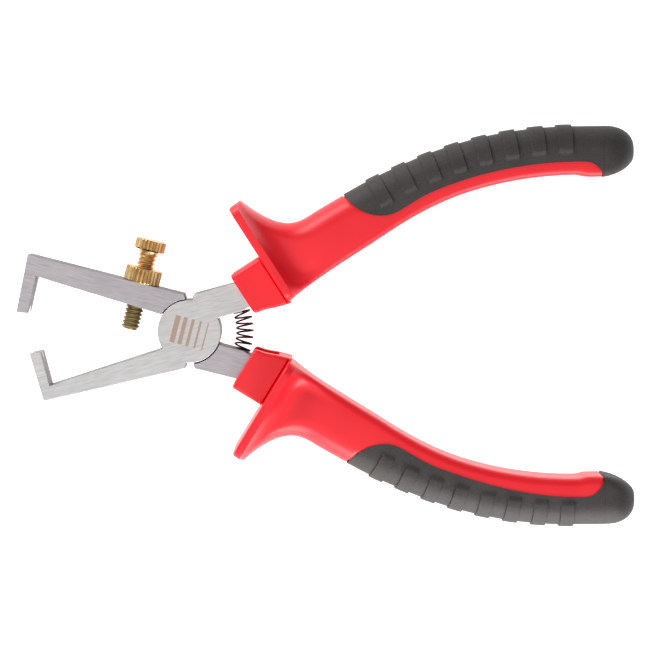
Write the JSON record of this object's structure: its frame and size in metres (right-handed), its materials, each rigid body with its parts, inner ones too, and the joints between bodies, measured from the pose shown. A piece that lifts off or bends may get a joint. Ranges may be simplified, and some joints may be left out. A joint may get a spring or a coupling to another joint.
{
  "type": "wire stripper",
  "caption": "Adjustable wire stripper with two bypassing notched jaws on a half-lap pivot, a setting screw with a lock nut, a return spring and guarded two-material grips.",
  "frame": {"origin": "on the pivot axis, at the back face of the head", "axes": "+X from the pivot towards the grips, +Y towards the jaw that carries the screw, +Z through the thickness from the back face to the front face"},
  "size_m": [0.1603, 0.1048, 0.022],
  "materials": {
    "lever_steel": "ground",
    "rivet_steel": "ground flush",
    "brass": "turned and knurled",
    "spring_wire": "black oxide",
    "red_plastic": "semi-gloss moulded",
    "soft_rubber": "matt moulded"
  },
  "bodies": {
    "front_half": {"front_lever": "lever_steel", "pivot_rivet": "rivet_steel", "upper_red_sleeve": "red_plastic", "upper_soft_grip": "soft_rubber", "return_spring": "spring_wire"},
    "rear_half": {"rear_lever": "lever_steel", "lower_red_sleeve": "red_plastic", "lower_soft_grip": "soft_rubber"},
    "screw": {"setting_screw": "brass"},
    "nut": {"lock_nut": "brass"}
  },
  "joints": [
    {"name": "pivot", "type": "hinge", "parent": "front_half", "child": "rear_half", "pos_m": [0, 0, 0.004], "axis": [0, 0, 1], "range_deg": [-9, 20], "stiffness_Nm_per_rad": 0.2, "deforming": ["return_spring"]},
    {"name": "screw_travel", "type": "slide", "parent": "rear_half", "child": "screw", "axis": [0.2605, 0.9655, 0], "range_m": [-0.001, 0.006]},
    {"name": "nut_turn", "type": "hinge", "parent": "rear_half", "child": "nut", "pos_m": [-0.01205, 0.01456, 0.004], "axis": [0.2605, 0.9655, 0], "range_deg": [0, 360]}
  ]
}
